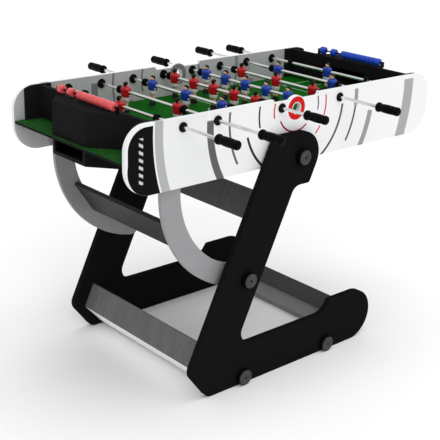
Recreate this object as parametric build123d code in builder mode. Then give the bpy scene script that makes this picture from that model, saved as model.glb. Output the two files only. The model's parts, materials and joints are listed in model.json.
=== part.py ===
from build123d import *
import math
import os

os.makedirs("parts", exist_ok=True)

# Upright-folding foosball table. Millimetres, +Z up, the playing length along X, the
# rods along Y. The origin is on the floor, under the middle of the whole table.
# "side" is -1 for the near (-Y) long side and +1 for the far (+Y) long side.

# ---- cabinet ----
table_length = 1380.0
panel_height = 220.0
panel_thickness = 15.0
panel_top_z = 966.0
inner_half_width = 302.0
outer_half_width = inner_half_width + panel_thickness
panel_bottom_z = panel_top_z - panel_height
panel_mid_z = panel_top_z - panel_height / 2
panel_top_corner = 76.0
panel_bottom_corner = 92.0

serve_z = 926.0
serve_hole_radius = 19.0
serve_hump_radius = 42.0
serve_dip_half_length = 104.0
serve_dip_depth = 11.0

field_z = 853.0
board_thickness = 9.0
board_bottom_z = field_z - board_thickness
board_length = table_length - 4.0

end_wall_x = 580.0
end_wall_thickness = 15.0
end_wall_top_z = 964.0
goal_box_x = end_wall_x + end_wall_thickness
goal_width = 196.0
goal_height = 78.0

liner_thickness = 12.0
liner_inner_x = 552.0
liner_outer_x = 650.0

# ---- goal boxes and ball trays: trapeziums in plan ----
box_front_x = 676.0
box_back_half = 184.0
box_front_half = 90.0
box_wall = 10.0
box_top_bevel = 5.0
drop_hole_length = 56.0
drop_hole_width = 150.0
drop_hole_x = 634.0
tray_bottom_z = 791.0
tray_floor = 6.0
tray_wall = 8.0
tray_lip = 12.0
tray_mouth_half = 78.0

# ---- scorers ----
scorer_x = 606.0
scorer_z = 980.0
rail_radius = 3.0
post_y = 163.0
post_width = 12.0
post_thickness = 7.0
post_top_z = 984.0
bead_radius = 13.8
bead_length = 23.6
bead_pitch = 24.0
scored_bead_ys = (140.0, 84.0)
waiting_bead_first_y = 30.0
waiting_bead_count = 8

# ---- rods ----
rod_z = 936.0
rod_pitch = 136.8
tube_radius = 5.5
tube_bore_radius = 4.1
inner_rod_radius = 4.0
running_gap = 0.1
socket_depth = 8.0
bush_barrel_radius = 11.5
bush_flange_radius = 16.5
bush_inner_flange = 4.0
bush_outer_flange = 5.0
bumper_radius = 13.5
bumper_width = 14.0
end_clearance = 1.0
inner_rod_overlap = 50.0

# (handle side, team, players, how far the rod is pushed along +Y)
rods = [
    (-1, "red", 1, 4.0),
    (-1, "red", 2, 17.0),
    (1, "blue", 3, 3.0),
    (-1, "red", 5, 19.0),
    (1, "blue", 5, 6.0),
    (-1, "red", 3, -8.0),
    (1, "blue", 2, -17.0),
    (1, "blue", 1, -4.0),
]
player_spacing = {1: 0.0, 2: 280.0, 3: 184.0, 5: 107.0}
rod_travel = {1: 94.0, 2: 118.0, 3: 64.0, 5: 46.0}
handle_gap = {1: 163.0, 2: 212.0, 3: 162.0, 5: 130.0}

handle_length = 90.0
handle_socket = 81.0
collar_radius = 16.0
collar_length = 10.0
neck_radius = 12.5
grip_radius = 14.0
grip_end_radius = 15.0

# ---- legs ----
pivot_z = 770.0
lean = math.radians(65.0)
leg_inner_y = 328.0
leg_thickness = 22.0
leg_outer_y = leg_inner_y + leg_thickness
head_radius = 84.0
upright_left = 139.6
upright_right = 22.4
ledge_z = 671.0
foot_top_z = 151.0
toe_radius = 98.0
toe_centre_x = 316.0
step_top_x = 197.0
step_bottom_x = 164.0
heel_bottom_x = -381.0
heel_corner = (-463.0, 107.0)
rail_thickness = 15.0

# ---- braces between table and legs ----
arc_centre_x = -164.0
arc_centre_z = 728.0
arc_outer_radius = 383.0
arc_inner_radius = 308.0
arc_thickness = 15.0
arc_inner_y = inner_half_width - arc_thickness
arc_top_z = 838.0
arc_end_angle = 260.0
arc_mid_radius = (arc_outer_radius + arc_inner_radius) / 2
arc_half_width = (arc_outer_radius - arc_inner_radius) / 2
slot_half_width = 7.5
crossbar_angle = 215.0
crossbar_width = 137.0
crossbar_radius = 321.5
lock_x = arc_centre_x + arc_mid_radius * math.cos(math.radians(arc_end_angle))
lock_z = arc_centre_z + arc_mid_radius * math.sin(math.radians(arc_end_angle))

# ---- turning hardware ----
face_gap = 0.3
pivot_stud_radius = 6.0
lock_stud_radius = 5.0
knob_radius = 28.0
knob_thickness = 22.0
pivot_stud_end_y = 299.0
lock_stud_end_y = 285.0
pivot_spacer_radius = 30.0
lock_spacer_radius = 15.0
leveller_radius = 29.0
leveller_thickness = 18.0
leveller_axis_z = 26.0
leveller_throw = 4.0
leveller_stud_radius = 4.0
leveller_stud_end_y = 330.0
leveller_xs = {"heel": -227.0, "toe": 178.0}

side_names = {-1: "near", 1: "far"}
rod_xs = [(i - (len(rods) - 1) / 2) * rod_pitch for i in range(len(rods))]


def at_y(y):
    """Plane facing -Y at the given y, so its local axes are world X and Z."""
    return Plane.XZ.offset(-y)


def save(piece, name):
    piece.part.label = name
    export_step(piece.part, f"parts/{name}.step")


def ring(centre, outer, inner):
    """Disc with a round hole, in the sketch being drawn."""
    with Locations(centre):
        Circle(outer)
        Circle(inner, mode=Mode.SUBTRACT)


# ---------------------------------------------------------------- cabinet
def side_panel(side):
    """Long side with rounded ends, a scooped top edge and a ball-serving hole."""
    handle_xs = [x for x, rod in zip(rod_xs, rods) if rod[0] == side]
    socket_xs = [x for x, rod in zip(rod_xs, rods) if rod[0] != side]
    with BuildPart() as panel:
        with BuildSketch(at_y(side * inner_half_width)) as outline:
            with Locations((0, panel_mid_z)):
                Rectangle(table_length, panel_height)
            fillet(outline.vertices().group_by(Axis.Y)[-1], panel_top_corner)
            fillet(outline.vertices().group_by(Axis.Y)[0], panel_bottom_corner)
            with Locations((0, panel_top_z)):
                RectangleRounded(2 * serve_dip_half_length, 2 * serve_dip_depth,
                                 0.9 * serve_dip_depth, mode=Mode.SUBTRACT)
            with Locations((0, serve_z)):
                Circle(serve_hump_radius)
                Circle(serve_hole_radius, mode=Mode.SUBTRACT)
            with Locations(*[(x, rod_z) for x in handle_xs]):
                Circle(bush_barrel_radius, mode=Mode.SUBTRACT)
            with Locations((0, pivot_z)):
                Circle(pivot_stud_radius + running_gap, mode=Mode.SUBTRACT)
        extrude(amount=-side * panel_thickness)
        with BuildSketch(at_y(side * inner_half_width)):
            with Locations(*[(x, rod_z) for x in socket_xs]):
                Circle(bush_barrel_radius)
        extrude(amount=-side * socket_depth, mode=Mode.SUBTRACT)
    save(panel, f"{side_names[side]}_side_panel")


def end_walls():
    """Walls across both ends of the field, each with its goal mouth."""
    with BuildPart() as walls:
        for x in (-goal_box_x, end_wall_x):
            with BuildSketch(Plane.YZ.offset(x)):
                with Locations((0, (field_z + end_wall_top_z) / 2)):
                    Rectangle(2 * (inner_half_width - liner_thickness), end_wall_top_z - field_z)
                with Locations((0, field_z + goal_height / 2)):
                    Rectangle(goal_width, goal_height, mode=Mode.SUBTRACT)
            extrude(amount=end_wall_thickness)
    save(walls, "end_walls")


def corner_liners():
    """Four flat boards that line the side panels beside the end walls."""
    with BuildPart() as liners:
        x_mid = (liner_inner_x + liner_outer_x) / 2
        for side in (-1, 1):
            with BuildSketch(at_y(side * (inner_half_width - liner_thickness))):
                with GridLocations(2 * x_mid, 0, 2, 1):
                    with Locations((0, (field_z + panel_top_z) / 2)):
                        Rectangle(liner_outer_x - liner_inner_x, panel_top_z - field_z)
                with Locations((0, panel_mid_z)):
                    RectangleRounded(table_length, panel_height, panel_top_corner,
                                     mode=Mode.INTERSECT)
            extrude(amount=-side * liner_thickness)
    save(liners, "corner_liners")


def playfield_board():
    """Field board, running out past both end walls as shelves, with two drop holes."""
    with BuildPart() as board:
        with BuildSketch(Plane.XY.offset(board_bottom_z)):
            Rectangle(board_length, 2 * inner_half_width)
            with GridLocations(2 * drop_hole_x, 0, 2, 1):
                Rectangle(drop_hole_length, drop_hole_width, mode=Mode.SUBTRACT)
        extrude(amount=board_thickness)
    save(board, "playfield_board")


# ---------------------------------------------------------------- goal boxes
box_slope = (box_back_half - box_front_half) / (box_front_x - goal_box_x)


def trapezium(end, x_back, x_front, inset):
    """Plan of a goal box, its slanted sides moved in by inset."""
    across = inset * math.hypot(1, box_slope)
    back = box_back_half - (x_back - goal_box_x) * box_slope - across
    front = box_back_half - (x_front - goal_box_x) * box_slope - across
    Polygon((end * x_back, -back), (end * x_front, -front), (end * x_front, front),
            (end * x_back, back), align=None)


def goal_boxes():
    """Closed-topped boxes behind the goals, open to the goal mouth and downwards."""
    with BuildPart() as boxes:
        for end in (-1, 1):
            with BuildSketch(Plane.XY.offset(field_z)):
                trapezium(end, goal_box_x, box_front_x, 0)
            extrude(amount=end_wall_top_z - field_z)
        top = boxes.faces().filter_by(Axis.Z).group_by(Axis.Z)[-1]
        rim = top.edges().filter_by(lambda e: abs(e.center().X) > goal_box_x + 1)
        chamfer(rim, box_top_bevel)
        for end in (-1, 1):
            with BuildSketch(Plane.XY.offset(field_z)):
                trapezium(end, goal_box_x, box_front_x - box_wall, box_wall)
            extrude(amount=end_wall_top_z - field_z - box_wall, mode=Mode.SUBTRACT)
    save(boxes, "goal_boxes")


def ball_return_trays():
    """Trays under the drop holes, open at the front over a low lip."""
    tray_height = board_bottom_z - tray_bottom_z
    mouth_height = tray_height - tray_lip - tray_floor
    with BuildPart() as trays:
        for end in (-1, 1):
            with BuildSketch(Plane.XY.offset(tray_bottom_z)):
                trapezium(end, goal_box_x, box_front_x, 0)
            extrude(amount=tray_height)
            with BuildSketch(Plane.XY.offset(tray_bottom_z + tray_floor)):
                trapezium(end, goal_box_x + tray_wall, box_front_x - tray_wall, tray_wall)
            extrude(amount=tray_height, mode=Mode.SUBTRACT)
            with BuildSketch(Plane.XY.offset(tray_bottom_z + tray_lip)):
                with Locations((end * box_front_x, 0)):
                    Rectangle(4 * tray_wall, 2 * tray_mouth_half)
            extrude(amount=mouth_height, mode=Mode.SUBTRACT)
    save(trays, "ball_return_trays")


# ---------------------------------------------------------------- scorers
def scorer_rails():
    """A thin rail between two posts on top of each goal box."""
    with BuildPart() as rails:
        with BuildSketch(Plane.XY.offset(end_wall_top_z)):
            with GridLocations(2 * scorer_x, 2 * post_y, 2, 2):
                RectangleRounded(post_width, post_thickness, 2)
        extrude(amount=post_top_z - end_wall_top_z)
        with BuildSketch(at_y(post_y)):
            with Locations((-scorer_x, scorer_z), (scorer_x, scorer_z)):
                Circle(rail_radius)
        extrude(amount=2 * post_y)
    save(rails, "scorer_rails")


def beads(end, centres, name):
    """Score beads with rounded rims on one rail."""
    with BuildPart() as row:
        for y in centres:
            with BuildSketch(at_y(y + bead_length / 2)):
                ring((end * scorer_x, scorer_z), bead_radius, rail_radius + running_gap)
            extrude(amount=bead_length)
        rims = row.edges().filter_by(GeomType.CIRCLE)
        fillet(rims.filter_by(lambda e: e.radius > bead_radius - 1), 4.5)
    save(row, name)


# ---------------------------------------------------------------- rods
def rod_bushings():
    """Flanged bushes: bored through on the handle side, blind sockets opposite."""
    inner_flange_y = inner_half_width - bush_inner_flange
    with BuildPart() as bushes:
        for x, rod in zip(rod_xs, rods):
            side = rod[0]
            bore = tube_radius + running_gap
            rings = [
                (side * inner_half_width, bush_barrel_radius, bore, -side * panel_thickness),
                (side * outer_half_width, bush_flange_radius - 1, bore, -side * bush_outer_flange),
                (side * inner_flange_y, bush_flange_radius, bore, -side * bush_inner_flange),
                (-side * inner_half_width, bush_barrel_radius, inner_rod_radius, side * socket_depth),
                (-side * inner_flange_y, bush_flange_radius, inner_rod_radius, side * bush_inner_flange),
            ]
            for y, outer, inner, length in rings:
                with BuildSketch(at_y(y)):
                    ring((x, rod_z), outer, inner)
                extrude(amount=length)
        rims = bushes.edges().filter_by(GeomType.CIRCLE)
        fillet(rims.filter_by(lambda e: e.radius > bush_flange_radius - 1.5), 1.5)
    save(bushes, "rod_bushings")


def inner_rods():
    """Steel rods fixed in the sockets, over which the outer tubes telescope."""
    with BuildPart() as steel:
        for x, (side, team, count, push) in zip(rod_xs, rods):
            reach = 2 * rod_travel[count] + inner_rod_overlap
            with BuildSketch(at_y(-side * (inner_half_width + socket_depth))):
                with Locations((x, rod_z)):
                    Circle(inner_rod_radius)
            extrude(amount=-side * (reach + socket_depth))
    save(steel, "inner_rods")


def rod_tube(x, rod, name):
    """Outer tube, from just short of the fixed socket out into its handle."""
    side, team, count, push = rod
    free_end = inner_half_width - bush_inner_flange - rod_travel[count] - 2 * end_clearance
    handle_end = outer_half_width + handle_gap[count] + handle_socket
    with BuildPart() as tube:
        with BuildSketch(at_y(push - side * free_end)):
            ring((x, rod_z), tube_radius, tube_bore_radius)
        extrude(amount=-side * (free_end + handle_end))
    save(tube, name)


def bumpers(x, rod, name):
    """Rubber rings that slide with the rod and stop it at the side panels."""
    side, team, count, push = rod
    stop = inner_half_width - bush_inner_flange - rod_travel[count] - end_clearance
    with BuildPart() as rubber:
        for y in (push + stop, push - stop + bumper_width):
            with BuildSketch(at_y(y)):
                ring((x, rod_z), bumper_radius, tube_radius + running_gap)
            extrude(amount=bumper_width)
        rims = rubber.edges().filter_by(GeomType.CIRCLE)
        fillet(rims.filter_by(lambda e: e.radius > bumper_radius - 1), 2)
    save(rubber, name)


def handle(x, rod, name):
    """Moulded grip with a collar at its inner end, pushed onto the tube."""
    side, team, count, push = rod
    start_y = side * (outer_half_width + handle_gap[count]) + push
    along = Plane(origin=(x, start_y, rod_z), x_dir=(0, side, 0), z_dir=(1, 0, 0))
    with BuildPart() as grip:
        with BuildSketch(along) as profile:
            with BuildLine():
                Polyline((0, tube_radius), (0, collar_radius), (collar_length, collar_radius),
                         (collar_length + 3, neck_radius), (collar_length + 8, neck_radius),
                         (collar_length + 16, grip_radius), (handle_length, grip_end_radius),
                         (handle_length, 0), (handle_socket, 0), (handle_socket, tube_radius),
                         close=True)
            make_face()
            outer = profile.vertices().filter_by_position(Axis.Y, tube_radius + 1, 2 * collar_radius)
            fillet(outer, 2.5)
        revolve(axis=Axis((x, start_y, rod_z), (0, side, 0)))
    save(grip, name)


def player_figure():
    """One man about the rod axis, facing +X: head, shirt, shorts, legs and boots."""
    with BuildPart() as figure:
        with BuildSketch(Plane.XY.offset(-26)):
            RectangleRounded(28, 34, 9)
        with BuildSketch(Plane.XY.offset(6)):
            RectangleRounded(36, 43, 14)
        loft()
        with BuildSketch(Plane.XY.offset(6)):
            RectangleRounded(36, 43, 14)
        with BuildSketch(Plane.XY.offset(18)):
            RectangleRounded(17, 21, 8)
        loft()
        with Locations((0, 0, 23.5)):
            Sphere(10.5)
        with BuildSketch(Plane.XY.offset(-26)):
            RectangleRounded(23, 29, 7)
        with BuildSketch(Plane.XY.offset(-58)):
            RectangleRounded(12, 18, 4)
        loft()
        with BuildSketch(Plane.XY.offset(-58)):
            RectangleRounded(12, 18, 4)
        with BuildSketch(Plane.XY.offset(-75)):
            with Locations((2, 0)):
                RectangleRounded(23, 23, 4)
        loft()
        with Locations((0, 0, 0)):
            Cylinder(tube_radius, 60, rotation=(90, 0, 0), mode=Mode.SUBTRACT)
    return figure.part


def players(x, rod, name):
    """The men of one rod, red facing +X and blue facing -X."""
    side, team, count, push = rod
    turn = 0 if team == "red" else 180
    spread = player_spacing[count]
    spots = [Location((x, push + (i - (count - 1) / 2) * spread, rod_z), (0, 0, turn))
             for i in range(count)]
    with BuildPart() as team_row:
        with Locations(*spots):
            add(figure)
    save(team_row, name)


# ---------------------------------------------------------------- legs
def leg_point(across, along):
    """Point given across the upright (right is +) and up along it, from the pivot."""
    return (across * math.sin(lean) + along * math.cos(lean),
            pivot_z - across * math.cos(lean) + along * math.sin(lean))


def on_upright(across, z):
    """Point at height z on a line parallel to the upright."""
    along = (z - pivot_z + across * math.cos(lean)) / math.sin(lean)
    return leg_point(across, along)


def leg(side):
    """Board frame: round head at the pivot, slanted upright, foot with a raised toe."""
    head_tangent = leg_point(head_radius, 0)
    head_top = (0, pivot_z + head_radius)
    head_right = (head_radius * math.cos(0.6), pivot_z + head_radius * math.sin(0.6))
    top_left = on_upright(-upright_left, pivot_z + head_radius)
    crotch = on_upright(upright_right, foot_top_z)
    ledge_inner = on_upright(upright_right, ledge_z)
    ledge_outer = on_upright(head_radius, ledge_z)
    rounded = [(top_left, 18), (crotch, 43), (ledge_inner, 38), (ledge_outer, 12),
               ((step_bottom_x, foot_top_z), 66), ((step_top_x, 2 * toe_radius), 6),
               ((heel_bottom_x, 0), 34), (heel_corner, 42)]
    with BuildPart() as frame:
        with BuildSketch(at_y(side * leg_inner_y)) as outline:
            with BuildLine():
                Polyline(head_top, top_left, heel_corner, (heel_bottom_x, 0), (toe_centre_x, 0))
                ThreePointArc((toe_centre_x, 0), (toe_centre_x + toe_radius, toe_radius),
                              (toe_centre_x, 2 * toe_radius))
                Polyline((toe_centre_x, 2 * toe_radius), (step_top_x, 2 * toe_radius),
                         (step_bottom_x, foot_top_z), crotch, ledge_inner, ledge_outer,
                         head_tangent)
                ThreePointArc(head_tangent, head_right, head_top)
            make_face()
            for corner, radius in rounded:
                fillet(outline.vertices().sort_by_distance(corner)[0], radius)
            with Locations((0, pivot_z)):
                Circle(pivot_stud_radius + running_gap, mode=Mode.SUBTRACT)
            with Locations((lock_x, lock_z)):
                Circle(lock_stud_radius + running_gap, mode=Mode.SUBTRACT)
            with Locations(*[(x, leveller_axis_z) for x in leveller_xs.values()]):
                Circle(leveller_stud_radius + running_gap, mode=Mode.SUBTRACT)
        extrude(amount=-side * leg_thickness)
    save(frame, f"{side_names[side]}_leg")


def bent_board(outer_points):
    """Profile of a board folded along its length, its thickness to the left of the path."""
    inner_points = []
    for i, (x, z) in enumerate(outer_points):
        before = outer_points[max(i - 1, 0)]
        after = outer_points[min(i + 1, len(outer_points) - 1)]
        turn_in = math.atan2(z - before[1], x - before[0]) if i else None
        turn_out = math.atan2(after[1] - z, after[0] - x) if i < len(outer_points) - 1 else turn_in
        turn_in = turn_out if turn_in is None else turn_in
        middle = (turn_in + turn_out) / 2
        depth = rail_thickness / math.cos((turn_out - turn_in) / 2)
        inner_points.append((x - depth * math.sin(middle), z + depth * math.cos(middle)))
    Polygon(*outer_points, *reversed(inner_points), align=None)


def leg_rails():
    """Three boards between the legs: one under the table, one at each end of the feet."""
    with BuildPart() as rails:
        with BuildSketch(at_y(leg_inner_y)):
            with Locations(leg_point(-11.6, -210.0)):
                Rectangle(104, rail_thickness, rotation=math.degrees(lean))
            bent_board([(-372, 174), (-411, 91), (-340, 12)])
            bent_board([(290, 8), (359, 18), (396, 92)])
        extrude(amount=2 * leg_inner_y)
    save(rails, "leg_rails")


def leg_spacers():
    """Discs and sleeves that hold the legs off the cabinet and off the braces."""
    with BuildPart() as spacers:
        for side in (-1, 1):
            with BuildSketch(at_y(side * (outer_half_width + face_gap))):
                ring((0, pivot_z), pivot_spacer_radius, pivot_stud_radius + running_gap)
            extrude(amount=-side * (leg_inner_y - outer_half_width - face_gap))
            with BuildSketch(at_y(side * (inner_half_width + face_gap))):
                ring((lock_x, lock_z), lock_spacer_radius, lock_stud_radius + running_gap)
            extrude(amount=-side * (leg_inner_y - inner_half_width - face_gap))
    save(spacers, "leg_spacers")


# ---------------------------------------------------------------- braces
def on_arc(radius, degrees):
    angle = math.radians(degrees)
    return (arc_centre_x + radius * math.cos(angle), arc_centre_z + radius * math.sin(angle))


def arc_braces():
    """Quarter-ring boards from under the cabinet to the lock knobs, slotted at the end."""
    sweep = arc_end_angle - 180
    tip_angle = math.radians(arc_end_angle + 90)
    tip = (lock_x + arc_half_width * math.cos(tip_angle), lock_z + arc_half_width * math.sin(tip_angle))
    slot_angle = math.atan2(lock_x, pivot_z - lock_z)
    slot_length = 60.0
    slot_mid = (lock_x + slot_length / 2 * math.cos(slot_angle),
                lock_z + slot_length / 2 * math.sin(slot_angle))
    with BuildPart() as braces:
        for side in (-1, 1):
            with BuildSketch(at_y(side * arc_inner_y)):
                with BuildLine():
                    Line((arc_centre_x - arc_outer_radius, arc_top_z), on_arc(arc_outer_radius, 180))
                    CenterArc((arc_centre_x, arc_centre_z), arc_outer_radius, 180, sweep)
                    ThreePointArc(on_arc(arc_outer_radius, arc_end_angle), tip,
                                  on_arc(arc_inner_radius, arc_end_angle))
                    CenterArc((arc_centre_x, arc_centre_z), arc_inner_radius, 180, sweep)
                    Polyline(on_arc(arc_inner_radius, 180),
                             (arc_centre_x - arc_inner_radius, arc_top_z),
                             (arc_centre_x - arc_outer_radius, arc_top_z))
                make_face()
                with Locations((lock_x, lock_z)):
                    Circle(slot_half_width, mode=Mode.SUBTRACT)
                with Locations(slot_mid):
                    Rectangle(slot_length, 2 * slot_half_width,
                              rotation=math.degrees(slot_angle), mode=Mode.SUBTRACT)
            extrude(amount=-side * arc_thickness)
    save(braces, "arc_braces")


def arc_crossbar():
    """Board between the two arc braces, set along their curve."""
    with BuildPart() as bar:
        with BuildSketch(at_y(arc_inner_y)):
            with Locations(on_arc(crossbar_radius, crossbar_angle)):
                Rectangle(crossbar_width, rail_thickness, rotation=crossbar_angle + 90)
        extrude(amount=2 * arc_inner_y)
    save(bar, "arc_crossbar")


# ---------------------------------------------------------------- knobs and levellers
def knob(side, centre, stud_radius, stud_end_y, name):
    """Round hand knob with a fluted rim, a sunk face and its threaded stud."""
    base_y = side * (leg_outer_y + face_gap)
    with BuildPart() as turner:
        with BuildSketch(at_y(base_y)):
            with Locations(centre):
                Circle(knob_radius)
                with PolarLocations(knob_radius + 1.5, 14):
                    Circle(3, mode=Mode.SUBTRACT)
        extrude(amount=-side * knob_thickness)
        with BuildSketch(at_y(base_y + side * (knob_thickness - 2))):
            with Locations(centre):
                Circle(knob_radius - 6)
        extrude(amount=-side * 2, mode=Mode.SUBTRACT)
        with BuildSketch(at_y(side * stud_end_y)):
            with Locations(centre):
                Circle(stud_radius)
        extrude(amount=-side * (leg_outer_y + 5 - stud_end_y))
    save(turner, name)


def leveller(side, x, name):
    """Round foot on an off-centre bolt; turning it lowers its rim below the foot board."""
    base_y = side * (leg_outer_y + face_gap)
    disc_z = leveller_axis_z + leveller_throw
    with BuildPart() as foot:
        with BuildSketch(at_y(base_y)):
            with Locations((x, disc_z)):
                Circle(leveller_radius)
        extrude(amount=-side * leveller_thickness)
        fillet(foot.edges().filter_by(GeomType.CIRCLE), 2)
        with BuildSketch(at_y(side * leveller_stud_end_y)):
            with Locations((x, leveller_axis_z)):
                Circle(leveller_stud_radius)
        extrude(amount=-side * (leg_outer_y + 5 - leveller_stud_end_y))
    save(foot, name)


# ---------------------------------------------------------------- build everything
for side in (-1, 1):
    side_panel(side)
    leg(side)
    near_far = side_names[side]
    knob(side, (0, pivot_z), pivot_stud_radius, pivot_stud_end_y, f"pivot_knob_{near_far}")
    knob(side, (lock_x, lock_z), lock_stud_radius, lock_stud_end_y, f"lock_knob_{near_far}")
    for place, x in leveller_xs.items():
        leveller(side, x, f"leveller_{near_far}_{place}")

end_walls()
corner_liners()
playfield_board()
goal_boxes()
ball_return_trays()
scorer_rails()
waiting_bead_ys = [waiting_bead_first_y - i * bead_pitch for i in range(waiting_bead_count)]
for end, team in ((-1, "red"), (1, "blue")):
    beads(end, scored_bead_ys, f"{team}_scored_beads")
    beads(end, waiting_bead_ys, f"{team}_waiting_beads")

rod_bushings()
inner_rods()
figure = player_figure()
for number, (x, rod) in enumerate(zip(rod_xs, rods), start=1):
    rod_tube(x, rod, f"rod{number}_tube")
    bumpers(x, rod, f"rod{number}_bumpers")
    handle(x, rod, f"rod{number}_handle")
    players(x, rod, f"rod{number}_players")

arc_braces()
arc_crossbar()
leg_rails()
leg_spacers()
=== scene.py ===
import json
import math

import bmesh
import bpy
from mathutils import Matrix, Vector


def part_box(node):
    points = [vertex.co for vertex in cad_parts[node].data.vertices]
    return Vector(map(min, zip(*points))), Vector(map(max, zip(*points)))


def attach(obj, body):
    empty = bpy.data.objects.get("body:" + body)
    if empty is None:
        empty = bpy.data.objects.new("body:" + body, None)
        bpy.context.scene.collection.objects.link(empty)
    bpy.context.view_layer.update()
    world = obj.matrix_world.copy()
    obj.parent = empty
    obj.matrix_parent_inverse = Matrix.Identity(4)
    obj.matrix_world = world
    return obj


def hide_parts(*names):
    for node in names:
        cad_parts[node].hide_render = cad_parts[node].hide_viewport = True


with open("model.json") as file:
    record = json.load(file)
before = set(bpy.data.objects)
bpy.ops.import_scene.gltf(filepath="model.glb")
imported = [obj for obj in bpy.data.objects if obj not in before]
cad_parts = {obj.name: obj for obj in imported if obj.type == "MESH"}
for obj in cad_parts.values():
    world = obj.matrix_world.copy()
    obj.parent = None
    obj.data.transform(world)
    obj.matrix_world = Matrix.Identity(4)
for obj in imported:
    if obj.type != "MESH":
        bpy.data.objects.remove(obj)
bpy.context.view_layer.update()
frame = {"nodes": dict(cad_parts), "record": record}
nodes = frame["nodes"]

# Heights and lengths of the CAD, in metres.
SERVE_Z = 0.926
ROD_Z = 0.936
FIELD_Z = 0.853
HALF_LENGTH = 0.690
PANEL_HALF_HEIGHT = 0.110
PANEL_MID_Z = 0.856
PANEL_OUTER_Y = 0.3165
PANEL_INNER_Y = 0.3025
END_WALL_X = 0.5795

frame_slot = {s["node"]: s["material_slot"] for s in frame["record"]["subparts"]}
body_of_node = {n: b for b, members in frame["record"]["behaviour"]["bodies"].items() for n in members}


# ------------------------------------------------------------------ materials
def rgb(r, g, b):
    """Linear colour from 0-255 sRGB."""
    def lin(c):
        c /= 255
        return c / 12.92 if c <= 0.04045 else ((c + 0.055) / 1.055) ** 2.4
    return (lin(r), lin(g), lin(b), 1.0)


class Shade:
    """A material being wired: math, mixing and noise in short calls."""

    def __init__(self, name, roughness=0.5, **sockets):
        self.mat = bpy.data.materials.new(name)
        self.mat.use_nodes = True
        self.nt = self.mat.node_tree
        self.bsdf = self.nt.nodes["Principled BSDF"]
        self.bsdf.inputs["Roughness"].default_value = roughness
        for key, value in sockets.items():
            self.bsdf.inputs[key.replace("_", " ")].default_value = value
        self.coord = self.nt.nodes.new("ShaderNodeTexCoord").outputs["Object"]
        xyz = self.nt.nodes.new("ShaderNodeSeparateXYZ")
        self.nt.links.new(self.coord, xyz.inputs[0])
        self.x, self.y, self.z = xyz.outputs

    def put(self, socket, value):
        if isinstance(value, bpy.types.NodeSocket):
            self.nt.links.new(value, socket)
        else:
            socket.default_value = value

    def math(self, op, a, b=0.0):
        node = self.nt.nodes.new("ShaderNodeMath")
        node.operation = op
        self.put(node.inputs[0], a)
        self.put(node.inputs[1], b)
        return node.outputs[0]

    def mix(self, fac, a, b):
        node = self.nt.nodes.new("ShaderNodeMix")
        node.data_type = "RGBA"
        self.put(node.inputs["Factor"], fac)
        self.put(node.inputs["A"], a)
        self.put(node.inputs["B"], b)
        return node.outputs["Result"]

    def above(self, value, edge, soft=0.0006):
        """0 below the edge, 1 above it, with a soft step."""
        node = self.nt.nodes.new("ShaderNodeMapRange")
        node.inputs["From Min"].default_value = edge - soft
        node.inputs["From Max"].default_value = edge + soft
        self.put(node.inputs["Value"], value)
        return node.outputs["Result"]

    def below(self, value, edge, soft=0.0006):
        return self.math("SUBTRACT", 1.0, self.above(value, edge, soft))

    def within(self, value, low, high, soft=0.0006):
        return self.math("SUBTRACT", self.above(value, low, soft), self.above(value, high, soft))

    def both(self, a, b):
        return self.math("MULTIPLY", a, b)

    def either(self, a, b):
        return self.math("MAXIMUM", a, b)

    def length(self, a, b):
        return self.math("SQRT", self.math("ADD", self.both(a, a), self.both(b, b)))

    def noise(self, scale, detail=3.0, stretch=(1, 1, 1)):
        mapping = self.nt.nodes.new("ShaderNodeMapping")
        mapping.inputs["Scale"].default_value = stretch
        self.nt.links.new(self.coord, mapping.inputs["Vector"])
        node = self.nt.nodes.new("ShaderNodeTexNoise")
        node.inputs["Scale"].default_value = scale
        node.inputs["Detail"].default_value = detail
        self.nt.links.new(mapping.outputs[0], node.inputs["Vector"])
        return node.outputs["Fac"]

    def remap(self, value, low, high, start=0.3, end=0.7):
        node = self.nt.nodes.new("ShaderNodeMapRange")
        node.inputs["From Min"].default_value = start
        node.inputs["From Max"].default_value = end
        node.inputs["To Min"].default_value = low
        node.inputs["To Max"].default_value = high
        self.put(node.inputs["Value"], value)
        return node.outputs["Result"]

    def color(self, value):
        self.put(self.bsdf.inputs["Base Color"], value)

    def rough(self, value):
        self.put(self.bsdf.inputs["Roughness"], value)

    def bump(self, height, distance, strength=1.0):
        node = self.nt.nodes.new("ShaderNodeBump")
        node.inputs["Strength"].default_value = strength
        node.inputs["Distance"].default_value = distance
        self.put(node.inputs["Height"], height)
        self.nt.links.new(node.outputs[0], self.bsdf.inputs["Normal"])
        return self

    def edge_wear_and_highlight(self):
        """Mask of slightly brighter edges from surface curvature: part rubbed wear, part painted edge highlight."""
        geo = self.nt.nodes.new("ShaderNodeNewGeometry")
        return self.above(geo.outputs["Pointiness"], 0.56, 0.04)


def laminate(name, base, light, rough_low, rough_high, grain=(6, 1, 1), shine=0.05):
    """Foil-wrapped board: fine pores, faint handling marks, slightly rubbed edges that also carry a painted
    highlight.
    """
    s = Shade(name, Specular_IOR_Level=shine)
    marks = s.noise(9, 5, grain)
    pores = s.noise(900, 2)
    tone = s.mix(s.remap(marks, 0, 1), base, light)
    # Edges lightened: part rubbed wear, part painted highlight where the edges catch the light.
    s.color(s.mix(s.both(s.edge_wear_and_highlight(), 0.5), tone, tuple(min(1, 1.6 * c + 0.01) for c in light[:3]) + (1,)))
    s.rough(s.remap(marks, rough_low, rough_high))
    return s.bump(pores, 0.00005, 0.35).mat


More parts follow.
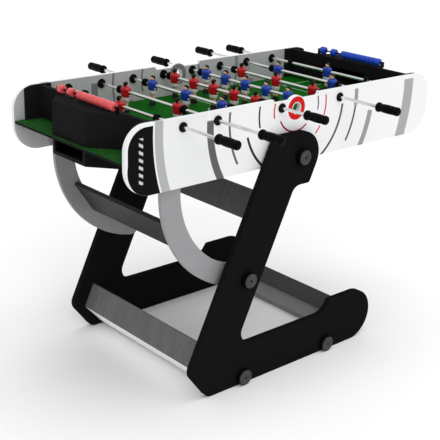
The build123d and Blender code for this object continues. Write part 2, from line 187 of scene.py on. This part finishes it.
def rail_laminate():
    """Dark grey cross boards, with a near-white lower plate at the heel; the toe rail is darkened as painted shade
    and its lower plate lightened as a painted highlight.
    """
    s = Shade("dark_grey_laminate", Specular_IOR_Level=0.06)
    marks = s.noise(9, 5, (1, 6, 1))
    tone = s.mix(s.remap(marks, 0, 1), rgb(98, 98, 100), rgb(110, 110, 112))
    # Painted shade: the toe rail beyond x 0.2 is darkened, so its upper plate looks turned away from the light.
    tone = s.mix(s.above(s.x, 0.2), tone, rgb(82, 82, 84))
    heel = s.both(s.below(s.z, 0.0905), s.below(s.x, -0.330))
    # Painted highlight: the toe rail's upward-facing lower plate is lightened as if lit from above.
    toe_highlight = s.both(s.within(s.x, 0.280, 0.3535), s.below(s.z, 0.040))
    tone = s.mix(toe_highlight, tone, rgb(130, 130, 132))
    s.color(s.mix(heel, tone, rgb(252, 252, 253)))
    s.rough(s.remap(marks, 0.42, 0.56))
    return s.bump(s.noise(900, 2), 0.00005, 0.35).mat


def plastic(name, base, light, roughness, grain_scale=1400.0, grain_depth=0.00004, **sockets):
    """Moulded plastic: fine spark texture and soft uneven tone."""
    s = Shade(name, **{"Specular_IOR_Level": 0.12, **sockets})
    cloud = s.noise(45, 4)
    s.color(s.mix(s.remap(cloud, 0, 1), base, light))
    s.rough(s.remap(s.noise(160, 3), roughness - 0.05, roughness + 0.07))
    return s.bump(s.noise(grain_scale, 2), grain_depth, 0.4).mat


def steel(name, base, roughness):
    """Plated steel with faint polishing marks round the rod and light smudges."""
    s = Shade(name, Metallic=1.0)
    stretch = (1, 14, 1)
    s.color(s.mix(s.remap(s.noise(26, 4), 0, 1), base, tuple(0.86 * c for c in base[:3]) + (1,)))
    s.rough(s.remap(s.noise(60, 4, stretch), roughness, roughness + 0.12))
    return s.bump(s.noise(240, 2, stretch), 0.00002, 0.3).mat


def panel_print():
    """White laminated side panels, printed with rings and arcs about the serving hole."""
    s = Shade("side_panel_print", Specular_IOR_Level=0.05)
    h = s.math("SUBTRACT", s.z, SERVE_Z)
    radius = s.length(s.x, h)
    # Angle from straight down, positive towards +X, in degrees.
    angle = s.both(s.math("ARCTAN2", s.x, s.both(h, -1.0)), 180 / math.pi)
    outside = s.above(s.math("ABSOLUTE", s.y), PANEL_OUTER_Y, 0.0001)
    inside = s.below(s.math("ABSOLUTE", s.y), PANEL_INNER_Y, 0.0002)
    left = s.below(s.x, 0.0)
    ink, soft_ink, red, dark_red = rgb(44, 44, 46), rgb(84, 84, 86), rgb(205, 22, 28), rgb(150, 14, 22)
    grey, mid_grey, pale = rgb(150, 151, 153), rgb(96, 97, 99), rgb(228, 229, 230)

    tone = s.mix(s.remap(s.noise(3, 4), 0, 1), rgb(238, 238, 239), rgb(230, 231, 232))
    tone = s.mix(s.both(s.within(radius, 0.384, 0.553), left), tone, pale)
    # Colour, inner and outer radius in metres, start and stop angle in degrees.
    bands = [
        (rgb(94, 95, 97), 0.357, 0.384, -92, 0), (grey, 0.363, 0.387, 20, 81),
        (rgb(172, 173, 175), 0.553, 0.584, -180, 0), (rgb(166, 167, 169), 0.549, 0.599, 20, 180),
        (mid_grey, 0.100, 0.106, 79, 112), (ink, 0.163, 0.170, -112, -75),
        (ink, 0.219, 0.228, -73, -37), (soft_ink, 0.2185, 0.2280, 34, 86),
        (mid_grey, 0.288, 0.2965, -112, -60), (soft_ink, 0.2880, 0.2970, 59, 84),
        (grey, 0.283, 0.301, 84, 112),
        (red, 0.098, 0.104, -112, -78), (red, 0.137, 0.143, 72, 106), (red, 0.137, 0.143, 44, 57),
        (dark_red, 0.075, 0.081, -65, 40),
    ]
    # On the outside the bands stop short of the top edge, but the widest runs out over it.
    short = s.either(s.both(s.below(s.z, 0.954), outside), inside)
    for color, inner, outer, start, stop in bands:
        mask = s.both(s.within(radius, inner, outer), s.within(angle, start, stop, 0.3))
        if color in (red, dark_red):
            mask = s.both(mask, outside)
        if (inner, start) != (0.553, -180):
            mask = s.both(mask, short)
        tone = s.mix(mask, tone, color)
    tone = s.mix(s.within(radius, 0.0195, 0.0390), tone, s.mix(outside, mid_grey, red))
    tone = s.mix(s.both(s.within(radius, 0.0185, 0.0215), outside), tone, dark_red)

    # Black end, inset from the rounded outline except near its foot.
    corner = s.math("SUBTRACT", 0.092, s.both(s.above(s.z, PANEL_MID_Z), 0.016))
    qx = s.math("ADD", s.math("SUBTRACT", s.math("ABSOLUTE", s.x), HALF_LENGTH), corner)
    height = s.math("ABSOLUTE", s.math("SUBTRACT", s.z, PANEL_MID_Z))
    qz = s.math("ADD", s.math("SUBTRACT", height, PANEL_HALF_HEIGHT), corner)
    corner_dist = s.length(s.math("MAXIMUM", qx, 0.0), s.math("MAXIMUM", qz, 0.0))
    within_core = s.math("MINIMUM", s.math("MAXIMUM", qx, qz), 0.0)
    inset = s.math("SUBTRACT", corner, s.math("ADD", corner_dist, within_core))
    margin = s.remap(s.z, 0.0, 0.009, 0.765, 0.850)
    end_area = s.both(s.both(s.above(radius, 0.590), left), outside)
    end_area = s.both(end_area, s.above(s.math("SUBTRACT", inset, margin), 0.0))
    tone = s.mix(end_area, tone, rgb(9, 8, 11))
    # A plain stack of slanted dashes down the middle of the black end.
    dash_x = s.within(s.x, -0.641, -0.626)
    slant = s.math("FRACT", s.both(s.math("ADD", s.z, s.both(s.x, 0.55)), 44.0))
    dashes = s.both(s.both(dash_x, s.within(slant, 0.22, 0.66, 0.04)), s.within(s.z, 0.784, 0.926))
    tone = s.mix(s.both(s.both(end_area, dashes), 0.85), tone, rgb(214, 214, 216))
    # The faces that look onto the field carry the same print, mixed towards grey as painted shade for the inside of
    # the table.
    s.color(s.mix(inside, tone, s.mix(0.62, tone, rgb(130, 130, 131))))
    s.rough(s.remap(s.noise(14, 4), 0.24, 0.36))
    return s.bump(s.noise(700, 2), 0.00003, 0.25).mat


def field_print():
    """Green printed field with white markings on its top face, dark board below."""
    s = Shade("field_print", Specular_IOR_Level=0.04)
    top = s.above(s.z, FIELD_Z - 0.0006, 0.0002)
    ax, ay = s.math("ABSOLUTE", s.x), s.math("ABSOLUTE", s.y)
    mow = s.math("SINE", s.both(s.x, math.pi / 0.0684))
    blades = s.noise(520, 3, (1, 0.35, 1))
    green = s.mix(s.remap(blades, 0, 1), rgb(4, 70, 7), rgb(11, 100, 13))
    green = s.mix(s.both(s.above(mow, 0.0, 0.2), 0.30), green, rgb(5, 72, 8))
    shelf = s.above(ax, 0.596)
    streaks = s.noise(34, 4, (1, 7, 1))
    green = s.mix(shelf, green, s.mix(s.remap(streaks, 0, 1), rgb(10, 44, 12), rgb(40, 96, 40)))
    radius = s.length(s.x, s.y)
    lines = s.either(s.within(ax, -1.0, 0.0020), s.within(radius, 0.078, 0.082))
    for length, width in ((0.150, 0.185), (0.066, 0.118)):
        edge_x = s.both(s.within(ax, 0.578 - length, 0.582 - length), s.below(ay, width))
        edge_y = s.both(s.within(ay, width - 0.004, width), s.above(ax, 0.578 - length))
        lines = s.either(lines, s.either(edge_x, edge_y))
    lines = s.both(lines, s.below(ax, END_WALL_X))
    green = s.mix(s.both(lines, 0.70), green, rgb(205, 214, 202))
    s.color(s.mix(top, rgb(20, 20, 22), green))
    s.rough(s.remap(blades, 0.5, 0.7))
    return s.bump(blades, 0.00012, 0.35).mat


BLACK_BOARD = laminate("black_laminate", rgb(9, 8, 10), rgb(13, 12, 15), 0.50, 0.62, (6, 1, 1), 0.01)
LEG_BOARD = laminate("black_leg_laminate", rgb(6, 5, 7), rgb(9, 8, 10), 0.60, 0.72, (6, 1, 1), 0.0)
RAIL_BOARD = rail_laminate()
DIM_BOARD = laminate("charcoal_laminate", rgb(42, 42, 44), rgb(51, 51, 53), 0.42, 0.56, (1, 6, 1))
SILVER_BOARD = laminate("silver_laminate", rgb(122, 122, 124), rgb(134, 134, 136), 0.34, 0.46, (1, 1, 5))
BLACK_PLASTIC = plastic("black_moulded_plastic", rgb(7, 7, 8), rgb(12, 12, 13), 0.46, Specular_IOR_Level=0.05)
GRIP_PLASTIC = plastic("black_grip_plastic", rgb(4, 4, 5), rgb(8, 8, 9), 0.44, 800.0, 0.00010,
                       Specular_IOR_Level=0.04)
CAP_PLASTIC = plastic("grey_cap_plastic", rgb(57, 57, 59), rgb(68, 68, 70), 0.45)
shirt_coat = {"Coat_Weight": 0.3, "Coat_Roughness": 0.15}
bead_coat = {"Coat_Weight": 0.4, "Coat_Roughness": 0.1}
RED_PLASTIC = plastic("red_shirt_plastic", rgb(158, 14, 22), rgb(184, 22, 30), 0.32, **shirt_coat)
BLUE_PLASTIC = plastic("blue_shirt_plastic", rgb(20, 52, 140), rgb(30, 66, 164), 0.32, **shirt_coat)
RED_BEAD = plastic("red_bead_plastic", rgb(206, 74, 78), rgb(222, 90, 92), 0.26, **bead_coat)
BLUE_BEAD = plastic("blue_bead_plastic", rgb(10, 62, 172), rgb(16, 76, 196), 0.26, **bead_coat)
SKIN = plastic("painted_skin", rgb(214, 168, 138), rgb(226, 182, 152), 0.42)
HAIR = plastic("painted_hair", rgb(20, 15, 12), rgb(34, 24, 18), 0.5)
SHORTS = plastic("painted_shorts", rgb(198, 196, 192), rgb(214, 212, 208), 0.42)
BOOT = plastic("painted_boot", rgb(22, 20, 20), rgb(34, 30, 30), 0.4)
RUBBER = plastic("black_rubber", rgb(8, 8, 8), rgb(15, 15, 15), 0.68, 700.0, 0.00008, Specular_IOR_Level=0.05)
CHROME = steel("chromed_steel", (0.87, 0.875, 0.885, 1), 0.15)
WHITE_RING = plastic("white_bush_core", rgb(196, 198, 200), rgb(214, 215, 217), 0.35)

finish_of = {
    "side_panel": panel_print(), "playfield_board": field_print(),
    "leg": LEG_BOARD, "end_walls": BLACK_BOARD, "corner_liners": BLACK_BOARD, "goal_boxes": BLACK_BOARD,
    "arc_braces": SILVER_BOARD, "arc_crossbar": DIM_BOARD, "leg_rails": RAIL_BOARD,
    "ball_return_trays": BLACK_PLASTIC, "leg_spacers": BLACK_PLASTIC, "rod_bushings": BLACK_PLASTIC,
    "scorer_rails": BLACK_PLASTIC, "inner_rods": CHROME, "tube": CHROME, "bumpers": RUBBER,
    "red_scored_beads": RED_BEAD, "red_waiting_beads": RED_BEAD,
    "blue_scored_beads": BLUE_BEAD, "blue_waiting_beads": BLUE_BEAD,
}
for name, obj in nodes.items():
    found = [mat for key, mat in finish_of.items() if name.endswith(key)]
    material = found[0] if found else BLACK_PLASTIC
    obj.data.materials.clear()
    obj.data.materials.append(material)


# ------------------------------------------------------------------ mesh helpers
def new_piece(name, bm, materials, body, subdivide=0):
    """A mesh object from a bmesh, finished, named and riding on a CAD body."""
    mesh = bpy.data.meshes.new(name)
    bmesh.ops.recalc_face_normals(bm, faces=bm.faces)
    bm.to_mesh(mesh)
    bm.free()
    for material in materials:
        mesh.materials.append(material)
    for polygon in mesh.polygons:
        polygon.use_smooth = True
    obj = bpy.data.objects.new(name, mesh)
    bpy.context.scene.collection.objects.link(obj)
    if subdivide:
        mod = obj.modifiers.new("subdivision", "SUBSURF")
        mod.levels = subdivide
        mod.render_levels = subdivide
    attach(obj, body)
    return obj


def add_rings(bm, rings, material):
    """Closed loops of points joined by quads, with the two ends capped."""
    loops = [[bm.verts.new(p) for p in ring] for ring in rings]
    count = len(loops[0])
    for a, b in zip(loops, loops[1:]):
        for i in range(count):
            j = (i + 1) % count
            bm.faces.new((a[i], a[j], b[j], b[i])).material_index = material
    for loop in (loops[0], loops[-1]):
        bm.faces.new(loop).material_index = material


def lathe(bm, profile, origin, axis, material_at=None, segments=40):
    """Turns (distance, radius) points about an axis through origin."""
    axis = Vector(axis).normalized()
    side = axis.orthogonal().normalized()
    up = axis.cross(side)
    turns = [2 * math.pi * i / segments for i in range(segments)]
    loops = [[bm.verts.new(Vector(origin) + axis * d + (side * math.cos(t) + up * math.sin(t)) * r)
              for t in turns] for d, r in profile]
    for k, (a, b) in enumerate(zip(loops, loops[1:])):
        for i in range(segments):
            j = (i + 1) % segments
            face = bm.faces.new((a[i], a[j], b[j], b[i]))
            face.material_index = material_at(k) if material_at else 0
    for k, loop in ((0, loops[0]), (len(profile) - 2, loops[-1])):
        bm.faces.new(loop).material_index = material_at(k) if material_at else 0


def oval(centre, half_x, half_y, power=2.6, count=20):
    """Rounded-square loop of points at one height."""
    points = []
    for i in range(count):
        t = 2 * math.pi * i / count
        c, s = math.cos(t), math.sin(t)
        points.append(Vector((centre[0] + half_x * math.copysign(abs(c) ** (2 / power), c),
                              centre[1] + half_y * math.copysign(abs(s) ** (2 / power), s), centre[2])))
    return points


def add_oval_stack(bm, levels, turn, place, material):
    """A lofted body part. Levels are (x, y, z, half x, half y, power) in millimetres."""
    rings = []
    for x, y, z, half_x, half_y, power in levels:
        ring = oval((x, y, z), half_x, half_y, power)
        rings.append([place + Vector((p.x * turn, p.y * turn, p.z)) / 1000 for p in ring])
    add_rings(bm, rings, material)


# ------------------------------------------------------------------ players
SHIRT_ID, SKIN_ID, HAIR_ID, SHORTS_ID, BOOT_ID = range(5)
MEN_ON_ROD = {1: 1, 2: 2, 3: 3, 4: 5, 5: 5, 6: 3, 7: 2, 8: 1}
# Half the width of one CAD man, in metres.
HALF_MAN = 0.0215


def add_man(bm, place, turn):
    """One player about the rod axis, facing +X, or -X with turn -1."""
    def part(levels, material):
        add_oval_stack(bm, levels, turn, place, material)

    part([(0, 0, -20.5, 12.4, 15.2, 2.7), (0, 0, -18.5, 13.8, 16.8, 2.7), (0, 0, -8, 14.8, 17.4, 2.6),
          (0, 0, 4, 16.8, 18.8, 2.6), (0, 0, 10, 15.8, 19.4, 2.5), (0, 0, 14.5, 10.8, 15.2, 2.4),
          (0, 0, 17.0, 5.6, 6.8, 2.0), (0, 0, 17.8, 4.2, 4.6, 2.0)], SHIRT_ID)
    for side in (-1, 1):
        part([(1.5, side * 17.6, -10, 3.6, 2.0, 2.0), (1.2, side * 17.8, -7, 5.6, 3.0, 2.2),
              (0.6, side * 17.8, 3, 6.8, 3.5, 2.2), (0.2, side * 17.0, 9, 7.0, 4.0, 2.2),
              (0.0, side * 15.2, 13.6, 4.8, 3.2, 2.0)], SHIRT_ID)
        part([(2.6, side * 17.4, -17.4, 2.5, 2.0, 2.0), (2.6, side * 17.5, -14.8, 4.0, 2.8, 2.2),
              (2.2, side * 17.5, -9.0, 4.0, 2.8, 2.2)], SKIN_ID)
    part([(0, 0, 15.5, 4.2, 4.2, 2.0), (0, 0, 19, 4.0, 4.0, 2.0)], SKIN_ID)
    part([(0.6, 0, 15.4, 3.2, 3.4, 2.0), (0.9, 0, 17.0, 6.4, 6.0, 2.1), (0.7, 0, 20.5, 8.2, 7.4, 2.1),
          (0.3, 0, 24.5, 8.8, 7.9, 2.1), (0.0, 0, 28.0, 7.9, 7.2, 2.1), (0.0, 0, 30.4, 4.6, 4.4, 2.0)], SKIN_ID)
    part([(9.0, 0, 21.6, 0.7, 1.0, 2.0), (9.5, 0, 22.2, 1.2, 1.3, 2.0), (8.8, 0, 24.6, 0.9, 0.9, 2.0)], SKIN_ID)
    part([(-6.4, 0, 17.8, 1.6, 4.4, 2.0), (-4.2, 0, 19.4, 4.4, 7.2, 2.2), (-2.6, 0, 23.0, 6.7, 8.9, 2.2),
          (-0.9, 0, 26.4, 8.7, 9.1, 2.2), (-0.3, 0, 29.6, 8.0, 7.8, 2.1), (-0.3, 0, 31.9, 4.8, 4.8, 2.0),
          (-0.3, 0, 32.4, 2.4, 2.4, 2.0)], HAIR_ID)
    part([(0, 0, -34, 9.2, 13.0, 3.0), (0, 0, -33, 11.0, 14.6, 3.0), (0, 0, -25, 12.0, 15.2, 3.0),
          (0, 0, -20, 12.8, 15.6, 2.8), (0, 0, -17.5, 10.0, 12.4, 2.6)], SHORTS_ID)
    for side in (-1, 1):
        part([(0, side * 5.6, -31, 5.6, 5.0, 2.4), (-0.2, side * 5.5, -38, 5.7, 5.0, 2.4),
              (0.2, side * 5.2, -44, 5.0, 4.5, 2.4), (-0.6, side * 5.0, -51, 5.1, 4.5, 2.4),
              (0.0, side * 4.9, -59, 4.5, 4.2, 2.4)], SKIN_ID)
    part([(0, 0, -28, 3.2, 5.0, 2.4), (0, 0, -58, 3.0, 4.6, 2.4)], SKIN_ID)
    part([(0, 0, -57.2, 5.0, 8.6, 3.0), (0, 0, -58.2, 6.2, 9.4, 3.0), (0.6, 0, -62, 7.4, 9.8, 3.4),
          (1.6, 0, -67, 9.6, 10.6, 4.0), (2.0, 0, -73, 11.0, 11.2, 4.4), (2.0, 0, -74.6, 10.4, 10.8, 4.4)], BOOT_ID)


def players_of(rod_number):
    """All the men of one rod, placed where the CAD men stand."""
    node = f"rod{rod_number}_players"
    lo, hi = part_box(node)
    tube_lo, tube_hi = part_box(f"rod{rod_number}_tube")
    rod_x = (tube_lo[0] + tube_hi[0]) / 2
    red = frame_slot[node] == "red_plastic"
    count = MEN_ON_ROD[rod_number]
    ys = [(lo[1] + hi[1]) / 2]
    if count > 1:
        step = (hi[1] - lo[1] - 2 * HALF_MAN) / (count - 1)
        ys = [lo[1] + HALF_MAN + i * step for i in range(count)]
    bm = bmesh.new()
    for y in ys:
        add_man(bm, Vector((rod_x, y, ROD_Z)), 1 if red else -1)
    shirt = RED_PLASTIC if red else BLUE_PLASTIC
    materials = [shirt, SKIN, HAIR, SHORTS, BOOT]
    obj = new_piece(f"rod{rod_number}_team", bm, materials, f"rod{rod_number}",
                    subdivide=1)
    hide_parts(node)


# ------------------------------------------------------------------ handles
def handle_of(rod_number):
    """Moulded grip with a flanged collar, eight finger ripples and a domed end, in millimetres."""
    node = f"rod{rod_number}_handle"
    lo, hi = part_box(node)
    side = 1 if hi[1] > 0 and abs(hi[1]) > abs(lo[1]) else -1
    start = lo[1] if side > 0 else hi[1]
    x = (lo[0] + hi[0]) / 2
    profile = [(0.0, 5.55), (0.0, 14.0), (0.8, 15.2), (2.2, 15.9), (7.4, 15.9), (9.2, 15.4), (10.4, 14.2),
               (11.8, 13.0), (14.0, 12.4), (16.6, 12.6), (20.0, 13.4)]
    steps = 32
    ripples_start, ripples_length = 23.5, 50.0
    for i in range(steps + 1):
        d = ripples_start + ripples_length * i / steps
        swell = 13.9 + 0.9 * math.sin(math.pi * (i / steps) ** 0.8)
        profile.append((d, swell - 0.45 * (1 - math.cos(2 * math.pi * i / 4)) / 2))
    profile += [(77.0, 14.4), (82.0, 14.5), (86.0, 13.6), (88.4, 11.0), (89.6, 6.6), (89.9, 2.2), (89.9, 0.6)]
    bm = bmesh.new()
    lathe(bm, [(d / 1000, r / 1000) for d, r in profile], (x, start, ROD_Z), (0, side, 0))
    obj = new_piece(f"rod{rod_number}_grip", bm, [GRIP_PLASTIC], f"rod{rod_number}")
    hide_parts(node)


for number in range(1, 9):
    players_of(number)
    handle_of(number)


# ------------------------------------------------------------------ small hardware
def cap_profile(radius, height):
    """Flat cap with a rounded rim and a small dark dimple in the middle."""
    return [(0.0, radius), (height * 0.55, radius), (height * 0.85, radius * 0.965), (height, radius * 0.91),
            (height, radius * 0.16), (height * 0.7, radius * 0.13), (height * 0.4, radius * 0.10),
            (height * 0.4, radius * 0.02)]


def caps():
    """Grey caps let into the faces of the turning knobs and levelling feet."""
    sizes = {"knob": (0.0256, 0.0019, 0.0024), "leveller": (0.0274, 0.0008, 0.0011)}
    for node in sorted(nodes):
        kind = next((kind for kind in sizes if kind in node), None)
        if kind is None:
            continue
        radius, sunk, height = sizes[kind]
        lo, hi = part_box(node)
        side = 1 if hi[1] > 0 else -1
        face_y = hi[1] if side > 0 else lo[1]
        centre = ((lo[0] + hi[0]) / 2, face_y - side * sunk, (lo[2] + hi[2]) / 2)
        bm = bmesh.new()
        lathe(bm, cap_profile(radius, height), centre, (0, side, 0), lambda k: 1 if k >= 4 else 0)
        new_piece(f"{node}_cap", bm, [CAP_PLASTIC, BLACK_PLASTIC], body_of_node[node])


caps()


def serving_rings():
    """Moulded funnels lining the serving hole in each side panel."""
    for side, place in ((-1, "near"), (1, "far")):
        bm = bmesh.new()
        profile = [(-0.0016, 0.0205), (-0.0016, 0.0182), (0.0, 0.0170), (0.0148, 0.0170), (0.0166, 0.0184),
                   (0.0166, 0.0205), (0.0152, 0.0212), (0.0152, 0.0189), (-0.0002, 0.0189), (-0.0002, 0.0212)]
        axis = Vector((0, side, 0))
        origin = Vector((0, side * 0.302, SERVE_Z))
        seg = 48
        turns = [2 * math.pi * i / seg for i in range(seg)]
        loops = [[bm.verts.new(origin + axis * d + Vector((math.cos(t) * r, 0, math.sin(t) * r))) for t in turns]
                 for d, r in profile]
        for k in range(len(loops)):
            a, b = loops[k], loops[(k + 1) % len(loops)]
            for i in range(seg):
                j = (i + 1) % seg
                bm.faces.new((a[i], a[j], b[j], b[i]))
        new_piece(f"serving_ring_{place}", bm, [WHITE_RING], "table")


serving_rings()

# ------------------------------------------------------------------ studio
def studio():
    """Pale floor, white surroundings and two soft suns."""
    bm = bmesh.new()
    size = 14.0
    corners = [(-size, -size), (size, -size), (size, size), (-size, size)]
    bm.faces.new([bm.verts.new((x, y, 0)) for x, y in corners])
    mesh = bpy.data.meshes.new("floor")
    bm.to_mesh(mesh)
    bm.free()
    s = Shade("pale_floor", 0.75)
    s.color(s.mix(s.remap(s.noise(0.7, 3), 0, 1), rgb(246, 246, 246), rgb(250, 250, 250)))
    mesh.materials.append(s.mat)
    floor = bpy.data.objects.new("floor", mesh)
    bpy.context.scene.collection.objects.link(floor)

    world = bpy.data.worlds.new("studio")
    world.use_nodes = True
    world.node_tree.nodes["Background"].inputs["Color"].default_value = (1, 1, 1, 1)
    world.node_tree.nodes["Background"].inputs["Strength"].default_value = 0.72
    bpy.context.scene.world = world

    for name, direction, spread, power in (
            ("key", (0.35, 0.80, -0.62), 35, 0.75),
            ("top", (-0.15, 0.10, -1.0), 50, 0.95)):
        light = bpy.data.lights.new(name, "SUN")
        light.energy = power
        light.angle = math.radians(spread)
        obj = bpy.data.objects.new(name, light)
        obj.rotation_euler = Vector(direction).to_track_quat("-Z", "Y").to_euler()
        bpy.context.scene.collection.objects.link(obj)


def camera():
    """Camera from the fitted view: position, heading, pitch, roll and focal length."""
    heading, pitch, roll = map(math.radians, (48.356, -20.2235, -1.7018))
    forward = Vector((math.cos(pitch) * math.cos(heading), math.cos(pitch) * math.sin(heading), math.sin(pitch)))
    right = Vector((math.sin(heading), -math.cos(heading), 0))
    up = right.cross(forward)
    x_axis = math.cos(roll) * right - math.sin(roll) * up
    y_axis = math.sin(roll) * right + math.cos(roll) * up
    data = bpy.data.cameras.new("camera")
    focal_px, image_px, sensor_mm = 1009.07, 440, 36.0
    data.sensor_width = sensor_mm
    data.lens = focal_px / image_px * sensor_mm
    obj = bpy.data.objects.new("camera", data)
    obj.matrix_world = Matrix((x_axis, y_axis, -forward)).transposed().to_4x4()
    obj.location = (-2.3214, -2.5675, 1.7161)
    bpy.context.scene.collection.objects.link(obj)
    bpy.context.scene.camera = obj


studio()
camera()
bpy.context.scene.view_settings.view_transform = "Standard"
